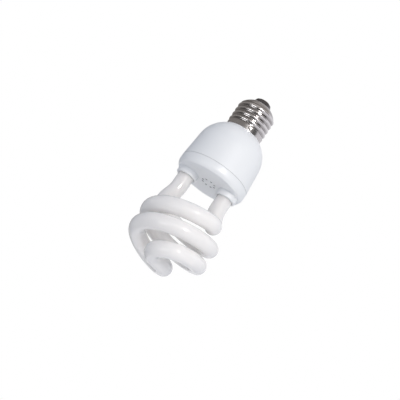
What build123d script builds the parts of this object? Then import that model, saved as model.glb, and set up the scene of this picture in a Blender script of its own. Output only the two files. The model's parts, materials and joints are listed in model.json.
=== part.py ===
"""Compact fluorescent lamp with a screw cap and a half-spiral tube, in millimetres.

The lamp hangs cap up. The origin is the middle of the centre contact's outer face, +Z points out of
the cap along the lamp's axis, and the two legs of the tube stand on the X axis. Depths are measured
down from the contact face, so a depth d lies at z = -d.
"""
from build123d import *

import os
from math import cos, radians, sin, sqrt, tan

# Screw cap
cap_height = 27.5           # contact face to the lower edge of the skirt
contact_d = 9.0
contact_thick = 0.8
contact_round = 0.35
mouth_d = 14.0              # outer edge of the shell's mouth, which the insulator closes
mouth_depth = 3.6
dome_r = 14.5
thread_depth = 8.2          # contact face to the start of the thread
thread_length = 15.5
thread_crest_d = 26.2
thread_height = 0.95
thread_pitch = 3.629
thread_run_out = 1.3        # the crest fades over this length at both ends
thread_angle = -117.5       # plan angle of the crest at the ridge's lower end
skirt_d = 25.4
skirt_flare = 0.6           # length over which the thread's root widens to the skirt
shell_wall = 0.3
dimple_count = 4            # punch marks that lock the shell to the neck
dimple_angle = -70.0
dimple_up = 1.85            # above the skirt's lower edge
dimple_r = 2.6
dimple_dent = 0.5
prick_r = 0.5               # sharper prick in the middle of a punch mark
prick_dent = 0.3
insulator_depth = 7.6       # contact face to the insulator's flat inner side
insulator_shoulder = 0.9    # black glass left round the contact
lead_hole_d = 1.4
bond_gap = 0.05             # between faces that are glued, soldered or set on one another

# Upper housing
neck_up = 13.6              # the neck stands up inside the shell by this much
neck_clearance = 0.25
neck_step = 0.6             # the neck widens this far below the thread
ledge_d = 26.6              # top edge of the visible housing, under the skirt
ledge_round = 0.45
shoulder_slope = 40.0       # fall of the shoulder, degrees from level
shoulder_r = 20.0
fillet_share = 0.9          # most of a face that a fillet takes up
body_d = 48.3               # at the seam
body_taper = 4.6            # degrees from upright
housing_height = 33.4       # skirt edge to the seam
housing_wall = 1.6

# Lower cover
cover_height = 6.7
cover_band = 3.0            # upright part of the cover's side
rim_inset = 1.6             # the side curves in by this much to the flat underside
rim_round = 0.6
cover_floor = 1.8
lip_height = 4.0            # spigot that snaps into the upper housing
lip_wall = 1.2
lip_clearance = 0.15
seam_chamfer = 0.22
bead_r = 0.4                # snap bead on the lip
bead_stand = 0.3            # how far the bead stands out of the lip
bead_up = 2.4               # above the seam
collar_wall = 1.35
collar_height = 4.0         # below the underside
collar_round = 0.85
collar_clearance = 0.4      # between tube and bore, filled by cement
sleeve_height = 4.6         # the collar goes on above the floor, inside
vent_count = 8
vent_d = 1.3
vent_ring_d = 9.2

# Glass tube
tube_d = 10.9
leg_spacing = 29.0
leg_inside = 9.7            # above the underside, to the sealed ends of the legs
leg_end_round = 3.6
leg_straight = 15.5         # below the underside, where the leg starts to lean
lean_out = 4.8
lean_along = 3.0
elbow_drop = 25.5           # below the underside, the corner of the elbow
elbow_back = 7.0            # from the elbow's corner to where its arc starts
spiral_drop = 25.2          # below the underside, the start of the helix
spiral_offset = 1.4         # the hand-bent spiral stands this far off the cap's axis
helix_r = 22.45             # at both ends of the helix
helix_swell = 0.6           # its middle is wider by this much
helix_pitch = 26.4
helix_start = -22.0         # plan angles where a strand joins the helix and where it leaves it
helix_leave = -51.0
helix_step = 30.0           # turn of one arc of the helix, about
bridge_drop = 7.2           # the inner turn goes down by this much on its way to the axis
bridge_arcs = 4
shortest_run = 0.001        # straight stretches between arcs are left out below this length
cement_recess = 1.3         # above the collar's mouth

# Ballast board
board_thick = 1.6
board_up = 14.5             # above the underside, to the board's lower face
board_edge_gap = 0.9
post_d = 3.4
post_ring_d = 35.0
post_count = 4
peg_d = 1.8
peg_stand = 0.6             # peg above the board
hole_clearance = 0.15       # round pegs, leads and pins

# Leads of the tube and the pins that they are wrapped on
lead_d = 0.7
lead_gap = 3.6              # between the two leads of one leg
lead_rise = 2.2             # above the board, where the lead turns to its pin
lead_bend_r = 0.8
pin_side = 0.9
pin_reach = 2.5             # from lead to pin
pin_height = 4.5
pin_below = 1.5

# Choke
choke_at = (-6.9, 7.5)
core_length = 13.0
core_width = 5.0
core_bar = 2.6              # thickness of the bars and the outer legs
core_height = 12.5
core_post_d = 4.0
bobbin_clearance = 0.15
bobbin_wall = 0.6
bobbin_flange_d = 7.2
winding_d = 6.8

# Other parts on the board
smoothing_at = (8.5, 7.0)
smoothing_d = 10.0
smoothing_height = 16.5
smoothing_round = 0.8
smoothing_groove_r = 0.45
smoothing_groove_up = 2.0
toroid_at = (1.4, -10.2)
toroid_d = 8.0
toroid_hole_d = 4.4
toroid_height = 4.4
toroid_wrap = 0.35          # thickness of the wire over the core
toroid_sector = 55.0
toroid_count = 3
transistor_at = ((12.0, -7.0), (8.7, -13.2))
transistor_d = 4.7
transistor_height = 4.7
transistor_flat = 1.2       # from the middle to the flat face
transistor_stand = 1.8
transistor_pitch = 1.27
transistor_leg_d = 0.5
film_parts = (((-10.2, -8.3), (9.0, 4.0, 8.5)), ((-6.6, -13.6), (6.4, 3.8, 7.5)))
film_round = 1.2
diode_row = (-11.5, -8.5, -5.5, -2.5)
diode_y = -1.9
diode_d = 2.7
diode_length = 5.2
resistor_row = (4.0, 7.0, 10.0)
resistor_y = -1.4
resistor_d = 2.1
resistor_length = 3.6
end_bevel = 0.4             # ends of the lying parts and the fuse resistor
wire_d = 0.6
wire_reach = 0.8            # of a lying part's wire before it turns down
wire_bend_r = 0.6
fuse_depth = 14.8
fuse_length = 7.0
fuse_d = 3.2
shell_lead_at = (6.0, -6.0)
shell_lead_d = 1.0
shell_lead_lift = 1.1       # above the neck's top
shell_lead_bend_r = 1.3

# Levels and radii that follow
seam = cap_height + housing_height
underside = seam + cover_height
floor = underside - cover_floor
thread_end = thread_depth + thread_length
root_r = thread_crest_d / 2 - thread_height
mouth_r = mouth_d / 2
skirt_r = skirt_d / 2
bore_r = root_r - shell_wall
neck_r = bore_r - neck_clearance
skirt_neck_r = skirt_r - shell_wall - neck_clearance
neck_top = cap_height - neck_up
body_r = body_d / 2
taper = tan(radians(body_taper))
lip_r = body_r - housing_wall / cos(radians(body_taper)) - lip_clearance
tube_r = tube_d / 2
socket_r = tube_r + collar_clearance
leg_x = leg_spacing / 2
leg_top = underside - leg_inside
board_under = underside - board_up
board_top = board_under - board_thick
stand_z = -board_top + bond_gap


def turned(outline):
    """Solid of revolution about Z of a closed outline drawn as (radius, height)."""
    return revolve(Plane.XZ * make_face(outline), Axis.Z)


def corner(face, point):
    """The corner of a face nearest to a point."""
    return face.vertices().sort_by_distance(Vector(*point))[0]


def upright(at, radius, low, high):
    """A round post between two depths, the lower one first."""
    foot = (Align.CENTER, Align.CENTER, Align.MIN)
    return Pos(at[0], at[1], -low) * Cylinder(radius, low - high, align=foot)


def wire(points, diameter, bend):
    """A round wire along straight runs with rounded corners."""
    path = FilletPolyline(*points, radius=bend)
    return sweep(Plane(path @ 0, z_dir=path % 0) * Circle(diameter / 2), path=path)


def ring_places(count, radius, first_angle):
    """Plan places of a ring of equal features."""
    angles = [radians(first_angle + i * 360 / count) for i in range(count)]
    return [(radius * cos(a), radius * sin(a)) for a in angles]


leg_places = ((leg_x, 0), (-leg_x, 0))
post_places = ring_places(post_count, post_ring_d / 2, 180 / post_count)
lead_places = [(x, y) for x, _ in leg_places for y in (-lead_gap / 2, lead_gap / 2)]


# Screw cap

def dome_centre():
    """Centre, in section, of the arc from the mouth to the thread's root."""
    high, low = Vector(mouth_r, -mouth_depth), Vector(root_r, -thread_depth)
    chord = low - high
    inward = Vector(chord.Y, -chord.X).normalized()
    return (high + low) / 2 + inward * sqrt(dome_r**2 - chord.length**2 / 4)


def dome_height(radius, inset):
    """Height of the dome, pressed in by inset, at a radius."""
    centre = dome_centre()
    return centre.Y + sqrt((dome_r - inset) ** 2 - (radius - centre.X) ** 2)


def dome_radius(height, inset):
    """Radius of the dome, pressed in by inset, at a height."""
    centre = dome_centre()
    return centre.X + sqrt((dome_r - inset) ** 2 - (height - centre.Y) ** 2)


def dome_arc(inner_r, outer_r, inset):
    """Arc of the dome between two radii."""
    return ThreePointArc(*[(r, dome_height(r, inset)) for r in (inner_r, (inner_r + outer_r) / 2, outer_r)])


def dome(inset):
    """The domed end of the shell as a full body."""
    arc = dome_arc(mouth_r - inset, root_r - inset, inset)
    high, low = (arc @ 0).Y, (arc @ 1).Y
    return turned(arc + Polyline(arc @ 1, (0, low), (0, high), arc @ 0))


def thread():
    """Rounded thread: a disc whose middle climbs a slim helix, faded out by cones at both ends."""
    off = thread_height / 2
    disc = Pos(off, 0) * Circle(thread_crest_d / 2 - off)
    ridge = sweep(disc, path=Helix(thread_pitch, thread_length + 2 * thread_run_out, off), normal=(0, 0, 1))
    fade = turned(
        Polyline(
            (0, thread_length),
            (root_r, thread_length),
            (root_r + 2 * thread_height, thread_length - 2 * thread_run_out),
            (skirt_r + 2 * thread_height, 2 * thread_run_out),
            (skirt_r, 0),
            (0, 0),
            close=True,
        )
    )
    ridge = Pos(0, 0, -thread_run_out) * Rot(0, 0, thread_angle) * ridge
    return Pos(0, 0, -thread_end) * (ridge & fade)


def skirt(inset):
    """The plain lower end of the shell as a full body."""
    top = -thread_end - inset
    return turned(
        Polyline(
            (0, top + skirt_flare),
            (root_r - inset, top + skirt_flare),
            (skirt_r - inset, top),
            (skirt_r - inset, -cap_height),
            (0, -cap_height),
            close=True,
        )
    )


def punches(grow):
    """Tools that punch the skirt inwards: a ball with a sharper one at its tip, both grown by an amount."""
    tip = Pos(0, dimple_r - prick_r + prick_dent) * Circle(prick_r + grow)
    reach = 2 * (dimple_r + grow)
    half = (Circle(dimple_r + grow) + tip) & Rectangle(reach, 2 * reach, align=(Align.MIN, Align.CENTER))
    place = Pos(skirt_r + dimple_r - dimple_dent, 0, dimple_up - cap_height) * Rot(0, 0, 90)
    tool = place * revolve(half, Axis.Y)
    return [Rot(0, 0, dimple_angle + i * 360 / dimple_count) * tool for i in range(dimple_count)]


def screw_shell():
    outside = dome(0) + thread() + skirt(0)
    inside = dome(shell_wall) + skirt(shell_wall)
    inside += upright((0, 0), bore_r, thread_end, -dome_height(bore_r, shell_wall))
    inside += upright((0, 0), mouth_r - shell_wall, thread_end, 0)
    for tool in punches(shell_wall):
        inside -= tool
    shell = outside - inside
    for tool in punches(0):
        shell -= tool
    return shell


def centre_contact():
    radius = contact_d / 2
    low = -contact_thick
    face = make_face(Polyline((0, 0), (radius, 0), (radius, low), (0, low), close=True))
    return revolve(Plane.XZ * fillet(corner(face, (radius, 0)), contact_round), Axis.Z)


def cap_insulator():
    inset = shell_wall + bond_gap
    plug_r = mouth_r - inset
    hole_r = lead_hole_d / 2
    top, low = -contact_thick, -insulator_depth
    arc = dome_arc(plug_r, dome_radius(low, inset), inset)
    shoulder = (contact_d / 2 + insulator_shoulder, top)
    rest = Polyline(arc @ 1, (hole_r, low), (hole_r, top), shoulder, (plug_r, -mouth_depth), arc @ 0)
    return turned(arc + rest)


# Plastic housing

def housing_corners(inset):
    """Start of the shoulder's slope, its corner with the side, and the side's foot, pressed in by inset."""
    slope = radians(shoulder_slope)
    start = Vector(ledge_d / 2 - inset * sin(slope), -cap_height - inset * cos(slope))
    foot = Vector(body_r - inset / cos(radians(body_taper)), -seam)
    run = (foot.X - start.X - (start.Y - foot.Y) * taper) / (cos(slope) - sin(slope) * taper)
    return start, start + Vector(cos(slope), -sin(slope)) * run, foot


def rounded_shoulder(face, start, bend, foot, radius):
    """Rounds the corner between slope and side, as far as the shorter of the two allows."""
    half_turn = (bend - start).get_angle(foot - bend) / 2
    room = fillet_share * min((bend - start).length, (foot - bend).length)
    return fillet(corner(face, bend), min(radius, room / tan(radians(half_turn))))


def bead_ring(radius):
    """The snap bead round the lip, or its groove."""
    centre_r = lip_r - bead_up * taper + bead_stand - bead_r
    return revolve(Plane.XZ * (Pos(centre_r, bead_up - seam) * Circle(radius)), Axis.Z)


def upper_housing():
    ledge, bend, foot = housing_corners(0)
    inner_ledge, inner_bend, inner_foot = housing_corners(housing_wall)
    inner_r = neck_r - housing_wall
    inner_top = inner_ledge.Y + (inner_ledge.X - inner_r) * tan(radians(shoulder_slope))
    step = -thread_end - neck_step
    face = make_face(
        Polyline(
            (inner_r, -neck_top),
            (neck_r, -neck_top),
            (neck_r, step),
            (skirt_neck_r, step),
            (skirt_neck_r, -cap_height),
            ledge,
            bend,
            foot,
            inner_foot,
            inner_bend,
            (inner_r, inner_top),
            close=True,
        )
    )
    face = fillet(corner(face, ledge), ledge_round)
    face = rounded_shoulder(face, ledge, bend, foot, shoulder_r)
    face = rounded_shoulder(face, inner_ledge, inner_bend, inner_foot, shoulder_r - housing_wall)
    face = chamfer(corner(face, foot), seam_chamfer)
    housing = revolve(Plane.XZ * face, Axis.Z) - bead_ring(bead_r + lip_clearance)
    for tool in punches(shell_wall + bond_gap):
        housing -= tool
    return housing


def collar(at):
    """Round socket of one leg, through the cover's floor."""
    post = upright(at, socket_r + collar_wall, underside + collar_height, floor - sleeve_height)
    return fillet(post.edges().group_by(Axis.Z)[0], collar_round)


def lower_cover():
    rim = (body_r - rim_inset, -underside)
    band_end = (body_r, -seam - cover_band)
    seam_edge = (body_r, -seam)
    lip_top = lip_height - seam
    lip_top_r = lip_r - lip_height * taper
    side = TangentArc(band_end, rim, tangent=(0, -1))
    rest = Polyline(
        rim,
        (0, -underside),
        (0, -floor),
        (lip_r - lip_wall, -floor),
        (lip_r - lip_wall, -seam),
        (lip_top_r - lip_wall, lip_top),
        (lip_top_r, lip_top),
        (lip_r, -seam),
        seam_edge,
        band_end,
    )
    face = make_face(side + rest)
    face = fillet(corner(face, rim), rim_round)
    face = chamfer(corner(face, seam_edge), seam_chamfer)
    cover = revolve(Plane.XZ * face, Axis.Z) + bead_ring(bead_r)
    for at in leg_places:
        cover += collar(at)
    for at in post_places:
        cover += upright(at, post_d / 2, floor, board_under)
        cover += upright(at, peg_d / 2, board_under, board_top - peg_stand)
    for at in leg_places:
        cover -= upright(at, socket_r, underside + collar_height, floor - sleeve_height)
    for at in ring_places(vent_count, vent_ring_d / 2, 180 / vent_count):
        cover -= upright(at, vent_d / 2, underside, floor)
    return cover


# Glass tube

def strand_corners(side):
    """Corners of one strand, from its sealed end to the lamp's axis: side is 1 or -1, a half turn apart."""
    spiral_top = underside + spiral_drop
    lean = Vector(leg_x + lean_out, -lean_along, -underside - elbow_drop)
    leg = [Vector(leg_x, 0, -leg_top), Vector(leg_x, 0, -underside - leg_straight), lean]
    spiral = []
    full_angle = helix_start - helix_leave + 360
    count = round(full_angle / helix_step)
    step = full_angle / count
    for i in range(count):
        angle = (i + 0.5) * step
        plan = radians(helix_start - angle)
        radius = helix_r + helix_swell * sin(radians(180 * angle / full_angle))
        reach = radius / cos(radians(step / 2))
        spiral.append(Vector(reach * cos(plan), reach * sin(plan), -spiral_top - helix_pitch * angle / 360))
    # a half circle inside the helix, of half its radius, brings the strand to the axis
    bridge_r = helix_r / 2
    middle = Vector(bridge_r, 0).rotate(Axis.Z, helix_leave)
    low = -spiral_top - helix_pitch * full_angle / 360
    reach = bridge_r / cos(radians(180 / bridge_arcs / 2))
    for i in range(bridge_arcs):
        share = (i + 0.5) / bridge_arcs
        plan = radians(helix_leave - 180 * share)
        drop = bridge_drop * (1 - (1 - share) ** 2)
        spiral.append(middle + Vector(reach * cos(plan), reach * sin(plan), low - drop))
    leg = [Vector(side * p.X, side * p.Y, p.Z) for p in leg]
    return leg + [Vector(side * p.X + spiral_offset, side * p.Y, p.Z) for p in spiral]


def tube_path():
    """Centre line of the tube: straight legs, then arcs that run into one another."""
    right, left = strand_corners(1), strand_corners(-1)
    points = right + left[::-1]
    runs = [(b - a).length for a, b in zip(points, points[1:])]
    # how far back from its corner each arc starts
    backs = [0] + [min(before, after) / 2 for before, after in zip(runs, runs[1:])]
    for elbow in (2, len(points) - 3):
        backs[elbow] = elbow_back
        backs[elbow - 1] = min(backs[elbow - 1], runs[elbow - 1] - elbow_back)
        backs[elbow + 1] = min(backs[elbow + 1], runs[elbow] - elbow_back)
    edges = []
    here = points[0]
    for before, bend, after, back in zip(points, points[1:], points[2:], backs[1:]):
        way_in, way_out = (bend - before).normalized(), (after - bend).normalized()
        arc_start, arc_end = bend - way_in * back, bend + way_out * back
        if (arc_start - here).length > shortest_run:
            edges.append(Line(here, arc_start))
            here = arc_start
        edges.append(TangentArc(here, arc_end, tangent=way_in))
        here = arc_end
    edges.append(Line(here, points[-1]))
    return Wire(edges)


def spiral_tube():
    path = tube_path()
    tube = sweep(Plane(path @ 0, z_dir=path % 0) * Circle(tube_r), path=path)
    ends = tube.edges().filter_by(GeomType.CIRCLE).group_by(Axis.Z)[-1]
    return fillet(ends, leg_end_round)


def tube_cement():
    mouth = underside + collar_height - cement_recess
    top = floor - sleeve_height
    rings = Part()
    for at in leg_places:
        rings += upright(at, socket_r - bond_gap, mouth, top) - upright(at, tube_r + bond_gap, mouth, top)
    return rings


# Ballast board and what connects it

def pin_places():
    """Plan places of the wrap pins, each outside its lead."""
    return [(x + pin_reach * (1 if x > 0 else -1), y) for x, y in lead_places]


def ballast_board():
    edge_r = lip_r + lip_clearance - (seam - board_top) * taper - board_edge_gap
    board = upright((0, 0), edge_r, board_under, board_top)
    holes = [(at, peg_d / 2) for at in post_places] + [(at, lead_d / 2) for at in lead_places]
    for at, radius in holes:
        board -= upright(at, radius + hole_clearance, board_under, board_top)
    side = pin_side + 2 * hole_clearance
    for x, y in pin_places():
        board -= Pos(x, y, -board_top) * Box(side, side, 3 * board_thick)
    return board


def wrap_pins():
    length = pin_height + board_thick + pin_below
    pin = Box(pin_side, pin_side, length, align=(Align.CENTER, Align.CENTER, Align.MIN))
    pin = chamfer(pin.edges().group_by(Axis.Z)[-1], pin_side / 4)
    return Part() + [Pos(x, y, -board_under - pin_below) * pin for x, y in pin_places()]


def tube_leads():
    level = lead_rise - board_top
    back = pin_side / 2 + bond_gap
    leads = Part()
    for (x, y), (end_x, _) in zip(lead_places, pin_places()):
        end = end_x - back if x > 0 else end_x + back
        leads += wire([(x, y, bond_gap - leg_top), (x, y, level), (end, y, level)], lead_d, lead_bend_r)
    return leads


def fuse_resistor():
    """Axial resistor in the lead from the contact to the board."""
    body = upright((0, 0), fuse_d / 2, fuse_depth + fuse_length, fuse_depth)
    body = chamfer(body.edges().filter_by(GeomType.CIRCLE), end_bevel)
    return body + upright((0, 0), wire_d / 2, -stand_z, contact_thick + bond_gap)


def shell_lead():
    """Insulated wire from the board, over the neck's top, to the inside of the shell."""
    x, y = shell_lead_at
    level = shell_lead_lift - neck_top
    out = Vector(x, y).normalized() * (bore_r - bond_gap)
    return wire([(x, y, stand_z), (x, y, level), (out.X, out.Y, level)], shell_lead_d, shell_lead_bend_r)


# Choke: two ferrite halves round a wound bobbin

def choke_core():
    half_height = core_height / 2 - bond_gap / 2
    low = (Align.CENTER, Align.CENTER, Align.MIN)
    half = Box(core_length, core_width, core_bar, align=low)
    half += Cylinder(core_post_d / 2, half_height, align=low)
    for side in (-1, 1):
        leg = Box(core_bar, core_width, half_height, align=low)
        half += Pos(side * (core_length - core_bar) / 2, 0) * leg
    other = Pos(0, 0, core_height) * mirror(half, Plane.XY)
    return Pos(*choke_at, stand_z) * (Part() + [half, other])


def bobbin_level(share):
    """Height on the choke of a share of the window between its bars."""
    window = core_height - 2 * core_bar - 2 * bobbin_clearance
    return stand_z + core_bar + bobbin_clearance + share * window


def choke_ring(outer_r, inner_r, low, high):
    """A ring round the choke's middle post."""
    ring = Cylinder(outer_r, high - low) - Cylinder(inner_r, high - low)
    return Pos(*choke_at, (low + high) / 2) * ring


def choke_bobbin():
    inner_r = core_post_d / 2 + bobbin_clearance
    low, high = bobbin_level(0), bobbin_level(1)
    bobbin = choke_ring(inner_r + bobbin_wall, inner_r, low, high)
    for start in (low, high - bobbin_wall):
        bobbin += choke_ring(bobbin_flange_d / 2, inner_r, start, start + bobbin_wall)
    return bobbin


def choke_winding():
    inner_r = core_post_d / 2 + bobbin_clearance + bobbin_wall + bond_gap
    margin = bobbin_wall + bond_gap
    return choke_ring(winding_d / 2, inner_r, bobbin_level(0) + margin, bobbin_level(1) - margin)


# Other parts on the board

def smoothing_capacitor():
    radius, top = smoothing_d / 2, smoothing_height
    face = make_face(Polyline((0, 0), (radius, 0), (radius, top), (0, top), close=True))
    face = fillet(corner(face, (radius, top)), smoothing_round)
    face -= Pos(radius, smoothing_groove_up) * Circle(smoothing_groove_r)
    return Pos(*smoothing_at, stand_z) * revolve(Plane.XZ * face, Axis.Z)


def toroid_section(grow):
    """Section of the ring core, grown by an amount on all sides."""
    width = (toroid_d - toroid_hole_d) / 2
    place = Pos((toroid_d + toroid_hole_d) / 4, toroid_wrap + bond_gap + toroid_height / 2)
    return Plane.XZ * (place * Rectangle(width + 2 * grow, toroid_height + 2 * grow))


def toroid_core():
    return Pos(*toroid_at, stand_z) * revolve(toroid_section(0), Axis.Z)


def toroid_windings():
    sleeve = toroid_section(toroid_wrap + bond_gap) - toroid_section(bond_gap)
    sector = revolve(sleeve, Axis.Z, revolution_arc=toroid_sector)
    turns = [Rot(0, 0, i * 360 / toroid_count) * sector for i in range(toroid_count)]
    return Part() + [Pos(*toroid_at, stand_z) * turn for turn in turns]


def transistors():
    low = (Align.CENTER, Align.CENTER, Align.MIN)
    cut = Pos(0, -transistor_flat) * Rectangle(transistor_d, transistor_d, align=(Align.CENTER, Align.MAX))
    one = Pos(0, 0, transistor_stand) * extrude(Circle(transistor_d / 2) - cut, transistor_height)
    for i in (-1, 0, 1):
        one += Pos(i * transistor_pitch, 0) * Cylinder(transistor_leg_d / 2, transistor_stand, align=low)
    return Part() + [Pos(*at, stand_z) * one for at in transistor_at]


def film_capacitors():
    made = Part()
    for at, size in film_parts:
        block = Box(*size, align=(Align.CENTER, Align.CENTER, Align.MIN))
        block = fillet(block.edges().filter_by(Axis.Z) + block.edges().group_by(Axis.Z)[-1], film_round)
        made += Pos(*at, stand_z) * block
    return made


def lying_parts(row, y, diameter, length):
    """A row of round parts that lie along Y on the board, their wires turned down to it."""
    level = stand_z + diameter / 2
    half = length / 2 + wire_reach
    made = Part()
    for x in row:
        body = Pos(x, y, level) * Rot(90, 0, 0) * Cylinder(diameter / 2, length)
        body = chamfer(body.edges().filter_by(GeomType.CIRCLE), end_bevel)
        feet = [(x, y - half, stand_z), (x, y - half, level), (x, y + half, level), (x, y + half, stand_z)]
        made += body + wire(feet, wire_d, wire_bend_r)
    return made


def rectifier_diodes():
    return lying_parts(diode_row, diode_y, diode_d, diode_length)


def board_resistors():
    return lying_parts(resistor_row, resistor_y, resistor_d, resistor_length)


pieces = (
    centre_contact,
    cap_insulator,
    screw_shell,
    upper_housing,
    lower_cover,
    spiral_tube,
    tube_cement,
    ballast_board,
    wrap_pins,
    tube_leads,
    choke_core,
    choke_bobbin,
    choke_winding,
    smoothing_capacitor,
    toroid_core,
    toroid_windings,
    transistors,
    film_capacitors,
    rectifier_diodes,
    board_resistors,
    fuse_resistor,
    shell_lead,
)

os.makedirs("parts", exist_ok=True)
for make in pieces:
    export_step(make(), f"parts/{make.__name__}.step")
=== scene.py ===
"""Looks of a compact fluorescent lamp: each piece's finish, soft studio light and the photograph's view.

Lengths are in metres and angles in degrees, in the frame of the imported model: +Z points out of the cap
along the lamp's axis.
"""

import json
from math import cos, radians, sin

import bmesh
import bpy
from mathutils import Matrix, Vector


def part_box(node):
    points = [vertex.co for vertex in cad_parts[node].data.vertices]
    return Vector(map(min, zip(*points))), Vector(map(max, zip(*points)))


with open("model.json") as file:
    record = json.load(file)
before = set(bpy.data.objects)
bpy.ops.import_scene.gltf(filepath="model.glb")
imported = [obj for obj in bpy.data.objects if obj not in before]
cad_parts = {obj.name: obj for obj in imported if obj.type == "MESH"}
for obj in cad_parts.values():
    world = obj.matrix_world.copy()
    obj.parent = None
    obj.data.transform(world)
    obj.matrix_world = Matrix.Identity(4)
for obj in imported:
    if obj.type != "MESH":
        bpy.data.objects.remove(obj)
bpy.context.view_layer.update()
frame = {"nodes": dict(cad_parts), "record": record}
mm = 0.001

# Camera of the photograph: it stands below the lamp's middle and is rolled about its line of sight
aim = Vector((0, 0, -0.0703))
camera_distance = 0.850
camera_rise = -18.6
camera_yaw = 10.0
camera_roll = 34.6
lens_mm = 120
sensor_mm = 36
picture_shift = (-0.0155, -0.0335)

# Places that the finishes follow: a mark fades between two distances from its middle
crest_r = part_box("screw_shell")[1].x
thread_height = 0.95 * mm
skirt_r = 12.7 * mm
punch_count = 4
punch_turn = -70
punch_level = -25.65 * mm
punch_fade = (0.3 * mm, 1.8 * mm)
# The seam and vent marks are painted shade: a dark line where shade falls in the seam's groove, and dark
# spots where it falls in the vents
seam_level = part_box("upper_housing")[0].z
seam_half = 0.25 * mm
seam_shade = 0.3
vent_count = 8
vent_ring_r = 4.6 * mm
vent_turn = 22.5
vent_level = seam_level - 5.8 * mm
vent_fade = (1.05 * mm, 1.3 * mm)
vent_shade = 0.8

# Floor, world and lights
floor_level = -0.70
floor_half = 30.0
floor_grey = 0.88
floor_white = 0.75
world_light = 0.525
world_colour = (0.945, 1.0, 1.12, 1)
white_light = (1.0, 1.0, 1.0)
key_light = (1.0, 0.93, 0.84)
warm_light = (1.0, 0.97, 0.90)
key_turn, key_rise = 14, 8
fill_distance = 1.2

# Screens that only gloss shows: the ends of their lines, as distance from the axis and height above the
# aim, and the turns that the lines sweep
screen_distance = 1.5
screen_low, screen_high = -0.60, 2.6
flag_distance = 1.45
table_middle = (0.12, screen_low)
wall_foot = (screen_distance, screen_low)
wall_top = (screen_distance, screen_high)
flag_foot = (flag_distance, -0.15)
flag_top = (flag_distance, 2.0)
ceiling_middle = (0.02, screen_high)
left_turns = (-172, 22)
flag_turns = (22, 70)
right_turns = (22, 188)
all_turns = (0, 360)
screen_steps = 24
dark_colour = (1.0, 0.94, 0.89, 1)
pale_colour = (1.0, 0.99, 1.02, 1)


class Signal:
    """A node's output. Arithmetic on it adds Math nodes to its finish."""

    def __init__(self, finish, socket):
        self.finish = finish
        self.socket = socket

    def math(self, operation, *values):
        return self.finish.add("ShaderNodeMath", {"operation": operation}, dict(enumerate(values)))

    def __add__(self, other):
        return self.math("ADD", self, other)

    def __radd__(self, other):
        return self.math("ADD", other, self)

    def __sub__(self, other):
        return self.math("SUBTRACT", self, other)

    def __rsub__(self, other):
        return self.math("SUBTRACT", other, self)

    def __mul__(self, other):
        return self.math("MULTIPLY", self, other)

    def __rmul__(self, other):
        return self.math("MULTIPLY", other, self)

    def __pow__(self, other):
        return self.math("POWER", self, other)

    def beside(self, name):
        """Another output of the same node."""
        return Signal(self.finish, self.socket.node.outputs[name])

    def between(self, low, high):
        """0 below low, 1 above high, and smooth between them."""
        settings = {"interpolation_type": "SMOOTHSTEP"}
        inputs = {"Value": self, "From Min": low, "From Max": high}
        return self.finish.add("ShaderNodeMapRange", settings, inputs)


class Finish:
    """The node tree of a material, or of the world."""

    def __init__(self, name, kind="materials"):
        self.owner = getattr(bpy.data, kind).new(name)
        self.owner.use_nodes = True
        self.tree = self.owner.node_tree
        self.tree.nodes.clear()

    def add(self, kind, settings=None, inputs=None, output=0):
        """Adds a node: its settings come first, then the values or links of its sockets."""
        node = self.tree.nodes.new(kind)
        for name, value in (settings or {}).items():
            setattr(node, name, value)
        for name, value in (inputs or {}).items():
            if isinstance(value, Signal):
                self.tree.links.new(value.socket, node.inputs[name])
            else:
                node.inputs[name].default_value = value
        return Signal(self, node.outputs[output]) if node.outputs else None

    def place(self):
        """The point on the piece, in the lamp's frame."""
        return self.add("ShaderNodeTexCoord", output="Object")

    def parts(self, vector):
        """The X, Y and Z of a vector."""
        x = self.add("ShaderNodeSeparateXYZ", inputs={0: vector})
        return x, x.beside("Y"), x.beside("Z")

    def noise(self, size, detail=2.0):
        """Soft noise between 0 and 1 with grains of about a size."""
        inputs = {"Vector": self.place(), "Scale": 1 / size, "Detail": detail}
        return self.add("ShaderNodeTexNoise", inputs=inputs)

    def lines(self, height, size):
        """Noise that changes with height alone, as lines round the axis."""
        inputs = {"W": height, "Scale": 1 / size, "Detail": 2.0}
        return self.add("ShaderNodeTexNoise", {"noise_dimensions": "1D"}, inputs)

    def mix(self, share, first, second):
        """A colour between two colours."""
        colours = {0: share, 6: first, 7: second}
        return self.add("ShaderNodeMix", {"data_type": "RGBA"}, colours, output=2)

    def close_to(self, places, near, far):
        """1 near any of some places, 0 away from them all, and smooth between the two distances."""
        point = self.place()
        distance = {"operation": "DISTANCE"}
        total = 0.0
        for spot in places:
            away = self.add("ShaderNodeVectorMath", distance, {0: point, 1: spot}, output="Value")
            total = total + 1 - away.between(near, far)
        return total

    def bump(self, height, depth, below=None):
        """A normal from heights between 0 and 1 that stand for a depth."""
        inputs = {"Height": height, "Distance": depth, "Strength": 1.0}
        if below:
            inputs["Normal"] = below
        return self.add("ShaderNodeBump", inputs=inputs)

    def shown(self):
        """1 for what shows in the picture, straight, through glass or in gloss, and 0 for other light."""
        straight = self.add("ShaderNodeLightPath", output="Is Camera Ray")
        through = straight.beside("Is Transmission Ray")
        mirrored = straight.beside("Is Glossy Ray")
        return straight.math("MAXIMUM", straight.math("MAXIMUM", straight, through), mirrored)

    def surface(self, **sockets):
        """Ends the tree in one Principled shader. Underscores stand for spaces in a socket's name."""
        inputs = {name.replace("_", " "): value for name, value in sockets.items()}
        shader = self.add("ShaderNodeBsdfPrincipled", inputs=inputs)
        self.add("ShaderNodeOutputMaterial", inputs={"Surface": shader})
        return self.owner


def grey(value):
    return (value, value, value, 1.0)


def ring(count, radius, level, start):
    """Places on a level ring round the lamp's axis."""
    turns = [radians(start + 360 * i / count) for i in range(count)]
    return [(radius * cos(turn), radius * sin(turn), level) for turn in turns]


# Finishes that show

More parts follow.
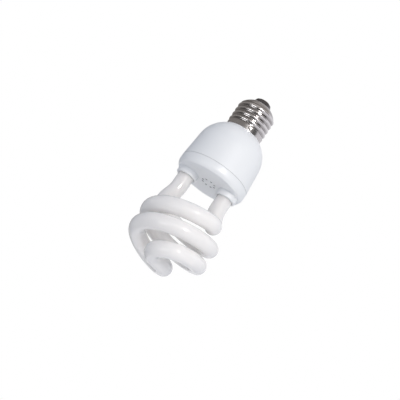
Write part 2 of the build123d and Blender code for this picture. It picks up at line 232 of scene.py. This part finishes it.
def white_plastic():
    """Satin white moulding with a faint grain, and painted shade in its seam and its vents."""
    finish = Finish("white_plastic")
    height = finish.parts(finish.place())[2]
    cloud = finish.noise(size=14 * mm)
    grain = finish.noise(size=0.16 * mm)
    # Painted shade: the seam's line and the spots round the vents are darkened towards a near-black grey,
    # where shade falls in them
    seam = height.math("COMPARE", height, seam_level, seam_half)
    vents = finish.close_to(ring(vent_count, vent_ring_r, vent_level, vent_turn), *vent_fade)
    clean = finish.mix(cloud, (0.845, 0.86, 0.875, 1), (0.885, 0.897, 0.91, 1))
    painted_shade = (0.10, 0.10, 0.105, 1)
    return finish.surface(
        Base_Color=finish.mix(seam * seam_shade + vents * vent_shade, clean, painted_shade),
        Roughness=0.30 + 0.12 * grain,
        Normal=finish.bump(grain, 0.004 * mm, below=finish.bump(cloud, 0.10 * mm)),
        IOR=1.5,
    )


def coated_glass():
    """Clear glass over a white powder coating, a little uneven, that light soaks through."""
    finish = Finish("coated_glass")
    cloud = finish.noise(size=9 * mm)
    powder = finish.noise(size=0.3 * mm)
    thin, thick = (0.86, 0.84, 0.825, 1), (0.90, 0.88, 0.865, 1)
    return finish.surface(
        Base_Color=finish.mix(cloud * 0.7 + powder * 0.3, thin, thick),
        Roughness=0.55 + 0.2 * powder,
        Normal=finish.bump(cloud, 0.05 * mm),
        Subsurface_Weight=1.0,
        Subsurface_Radius=(1.0, 1.0, 1.0),
        Subsurface_Scale=7 * mm,
        Coat_Weight=1.0,
        Coat_Roughness=0.08,
        Coat_IOR=1.5,
    )


def nickel_shell():
    """Rolled nickel plate: fine rolling lines, smudges, painted shade in the thread roots and duller
    punch marks.
    """
    finish = Finish("nickel_shell")
    x, y, z = finish.parts(finish.place())
    radius = (x * x + y * y) ** 0.5
    # Painted shade: the thread's roots are coloured darker than its crests, standing in for the shade in
    # its grooves; the smudge adds a random tone
    crest = radius.between(crest_r - thread_height, crest_r)
    smudge = finish.noise(size=3 * mm, detail=4)
    rolled = finish.lines(z, size=0.12 * mm)
    punched = finish.close_to(ring(punch_count, skirt_r, punch_level, punch_turn), *punch_fade)
    root_shade_and_smudge, bright = (0.36, 0.345, 0.345, 1), (0.86, 0.84, 0.85, 1)
    worn = finish.bump(rolled, 0.002 * mm, below=finish.bump(smudge, 0.002 * mm))
    return finish.surface(
        Base_Color=finish.mix(crest * 0.7 + smudge * 0.3, root_shade_and_smudge, bright),
        Roughness=0.20 + 0.10 * smudge + 0.2 * punched,
        Metallic=1.0,
        Normal=finish.bump(punched, 0.35 * mm, below=worn),
    )


def black_glass():
    """Glossy black glass with shallow flow marks."""
    finish = Finish("black_glass")
    flow = finish.noise(size=1.5 * mm)
    return finish.surface(
        Base_Color=finish.mix(flow, (0.030, 0.026, 0.026, 1), (0.060, 0.053, 0.052, 1)),
        Roughness=0.08 + 0.1 * flow,
        Normal=finish.bump(flow, 0.03 * mm),
    )


def contact_metal():
    """Dull contact, darkened unevenly."""
    finish = Finish("contact_metal")
    stain = finish.noise(size=1.2 * mm, detail=4)
    return finish.surface(
        Base_Color=finish.mix(stain, (0.13, 0.115, 0.105, 1), (0.24, 0.21, 0.19, 1)),
        Roughness=0.45 + 0.25 * stain,
        Metallic=0.6,
        Normal=finish.bump(finish.noise(size=0.3 * mm), 0.02 * mm),
    )


# Finishes of the cement and of the pieces inside the housing

def grained(name, dark, light, roughness, grain_mm, depth_mm, metallic=0.0):
    """A plain finish with dark and light grains of a size and a depth."""
    finish = Finish(name)
    speck = finish.noise(size=grain_mm * mm)
    return finish.surface(
        Base_Color=finish.mix(speck, (*dark, 1), (*light, 1)),
        Roughness=roughness + 0.1 * speck,
        Metallic=metallic,
        Normal=finish.bump(speck, depth_mm * mm),
    )


# The values are those of grained, in its order
grained_finishes = {
    "cement": ((0.42, 0.39, 0.36), (0.52, 0.48, 0.45), 0.80, 0.40, 0.05),
    "board_laminate": ((0.44, 0.33, 0.17), (0.56, 0.44, 0.25), 0.50, 0.50, 0.02),
    "tinned_wire": ((0.58, 0.58, 0.57), (0.72, 0.72, 0.71), 0.25, 0.30, 0.01, 1.0),
    "ferrite": ((0.08, 0.08, 0.09), (0.13, 0.13, 0.14), 0.55, 0.20, 0.02),
    "bobbin_plastic": ((0.70, 0.65, 0.55), (0.78, 0.73, 0.63), 0.45, 0.20, 0.01),
    "enamelled_copper": ((0.52, 0.22, 0.09), (0.66, 0.32, 0.14), 0.20, 0.20, 0.05),
    "capacitor_sleeve": ((0.03, 0.05, 0.12), (0.05, 0.07, 0.16), 0.25, 1.00, 0.02),
    "black_resin": ((0.025, 0.025, 0.025), (0.04, 0.04, 0.04), 0.50, 0.15, 0.02),
    "film_resin": ((0.40, 0.08, 0.04), (0.50, 0.12, 0.06), 0.20, 1.00, 0.05),
    "resistor_lacquer": ((0.50, 0.43, 0.31), (0.60, 0.53, 0.41), 0.30, 0.40, 0.02),
    "lead_insulation": ((0.08, 0.17, 0.40), (0.12, 0.23, 0.50), 0.50, 0.30, 0.01),
}
finishes = {
    "white_plastic": white_plastic(),
    "coated_glass": coated_glass(),
    "nickel_shell": nickel_shell(),
    "black_glass": black_glass(),
    "contact_metal": contact_metal(),
}
for slot, values in grained_finishes.items():
    finishes[slot] = grained(slot, *values)
for part in frame["record"]["subparts"]:
    node = frame["nodes"][part["node"]]
    node.data.materials.clear()
    node.data.materials.append(finishes[part["material_slot"]])


# Stage: floor, world, screens, lights and camera

def around(turn, rise, distance):
    """A place round the lamp: turn is to the right of the camera, and rise is above the aim."""
    turn, rise = radians(camera_yaw + turn), radians(rise)
    return aim + distance * Vector((sin(turn) * cos(rise), -cos(turn) * cos(rise), sin(rise)))


def in_scene(name, data):
    """A new object in the scene."""
    piece = bpy.data.objects.new(name, data)
    bpy.context.scene.collection.objects.link(piece)
    return piece


def stage_piece(name, mesh_maker, material):
    """A piece of the stage from a bmesh."""
    mesh = bpy.data.meshes.new(name)
    shape = bmesh.new()
    mesh_maker(shape)
    shape.to_mesh(mesh)
    shape.free()
    mesh.materials.append(material)
    piece = in_scene(name, mesh)
    return piece


def glow(name, colour, strength):
    """A surface that shines evenly."""
    finish = Finish(name)
    light = finish.add("ShaderNodeEmission", inputs={"Color": colour, "Strength": strength})
    finish.add("ShaderNodeOutputMaterial", inputs={"Surface": light})
    return finish.owner


def only_mirrored(piece):
    """Shows a piece in reflections alone."""
    piece.visible_camera = False
    piece.visible_diffuse = False
    piece.visible_transmission = False
    piece.visible_shadow = False


def floor():
    """A plain pale floor well below the lamp, near white to the camera."""
    finish = Finish("floor")
    matt = finish.add("ShaderNodeBsdfDiffuse", inputs={"Color": grey(floor_grey)})
    white = finish.add("ShaderNodeEmission", inputs={"Color": grey(1.0)})
    share = finish.shown() * floor_white
    both = finish.add("ShaderNodeMixShader", inputs={0: share, 1: matt, 2: white})
    finish.add("ShaderNodeOutputMaterial", inputs={"Surface": both})

    def sheet(shape):
        place = Matrix.Translation((0, 0, floor_level))
        bmesh.ops.create_grid(shape, x_segments=1, y_segments=1, size=floor_half, matrix=place)

    stage_piece("floor", sheet, finish.owner)


def screen(name, start, end, turns, colour, strength):
    """A shining screen that a line sweeps round the lamp, which only gloss shows."""

    def sheet(shape):
        turn = radians(camera_yaw + turns[0])
        places = [aim + Vector((out * sin(turn), -out * cos(turn), up)) for out, up in (start, end)]
        edge = shape.edges.new([shape.verts.new(place) for place in places])
        bmesh.ops.spin(
            shape,
            geom=[*edge.verts, edge],
            cent=aim,
            axis=(0, 0, 1),
            angle=radians(turns[1] - turns[0]),
            steps=screen_steps,
            use_merge=turns == all_turns,
        )

    only_mirrored(stage_piece(name, sheet, glow(name, colour, strength)))


def white_world():
    """White to the camera and in reflections, and a cool soft light on the lamp."""
    sky = Finish("white_world", "worlds")
    soft = sky.add("ShaderNodeBackground", inputs={"Color": world_colour, "Strength": world_light})
    white = sky.add("ShaderNodeBackground", inputs={"Color": grey(1.0)})
    both = sky.add("ShaderNodeMixShader", inputs={0: sky.shown(), 1: soft, 2: white})
    sky.add("ShaderNodeOutputWorld", inputs={"Surface": both})
    bpy.context.scene.world = sky.owner


def soft_light(name, turn, rise, distance, size, power, colour=white_light, in_gloss=True, on_matt=True):
    """An area light that faces the lamp's middle, shown in gloss, on matt surfaces or both."""
    data = bpy.data.lights.new(name, "AREA")
    data.shape = "RECTANGLE"
    data.size, data.size_y = size
    data.energy = power
    data.color = colour
    light = in_scene(name, data)
    light.visible_camera = False
    light.visible_glossy = in_gloss
    light.visible_diffuse = on_matt
    light.location = around(turn, rise, distance)
    light.rotation_euler = (aim - light.location).to_track_quat("-Z", "Y").to_euler()


def fill_light(name, turn, rise, width, power, colour=white_light):
    """A square light on matt surfaces alone."""
    soft_light(name, turn, rise, fill_distance, (width, width), power, colour, in_gloss=False)


def photo_camera():
    """The camera at the photograph's viewing angle."""
    eye = around(0, camera_rise, camera_distance)
    look = (aim - eye).normalized()
    level = look.cross(Vector((0, 0, 1))).normalized()
    upright = level.cross(look)
    roll = radians(camera_roll)
    across = level * cos(roll) + upright * sin(roll)
    up = upright * cos(roll) - level * sin(roll)
    data = bpy.data.cameras.new("photo_camera")
    data.lens = lens_mm
    data.sensor_width = sensor_mm
    data.shift_x, data.shift_y = picture_shift
    camera = in_scene("photo_camera", data)
    turned = Matrix((across, up, -look)).transposed().to_4x4()
    camera.matrix_world = Matrix.Translation(eye) @ turned
    bpy.context.scene.camera = camera


floor()
white_world()
screen("dark_table", table_middle, wall_foot, left_turns, dark_colour, strength=0.06)
screen("pale_table", table_middle, wall_foot, right_turns, pale_colour, strength=0.80)
screen("dark_wall", wall_foot, wall_top, left_turns, dark_colour, strength=0.25)
screen("dark_flag", flag_foot, flag_top, flag_turns, dark_colour, strength=0.04)
screen("pale_wall", wall_foot, wall_top, right_turns, pale_colour, strength=0.80)
screen("dim_ceiling", wall_top, ceiling_middle, all_turns, dark_colour, strength=0.55)

# The key, and two more lights just behind it that only gloss shows: a bright window and a broad glow
soft_light("key", key_turn, key_rise, distance=1.1, size=(0.08, 0.16), power=3.3, colour=key_light)
soft_light("key_window", key_turn, key_rise, distance=1.11, size=(0.18, 0.22), power=5.0, on_matt=False)
soft_light("key_glow", key_turn, key_rise, distance=1.12, size=(0.22, 0.50), power=0.9, on_matt=False)
soft_light("left_softbox", -40, -32, distance=0.9, size=(0.42, 0.20), power=1.4, on_matt=False)
fill_light("front_fill", turn=15, rise=-22, width=0.5, power=1.6)
fill_light("right_fill", turn=60, rise=40, width=0.7, power=1.8, colour=warm_light)
fill_light("top_fill", turn=-25, rise=60, width=0.6, power=1.1)
fill_light("back_fill", turn=185, rise=30, width=0.8, power=4.0, colour=warm_light)
photo_camera()
bpy.context.scene.view_settings.view_transform = "Standard"
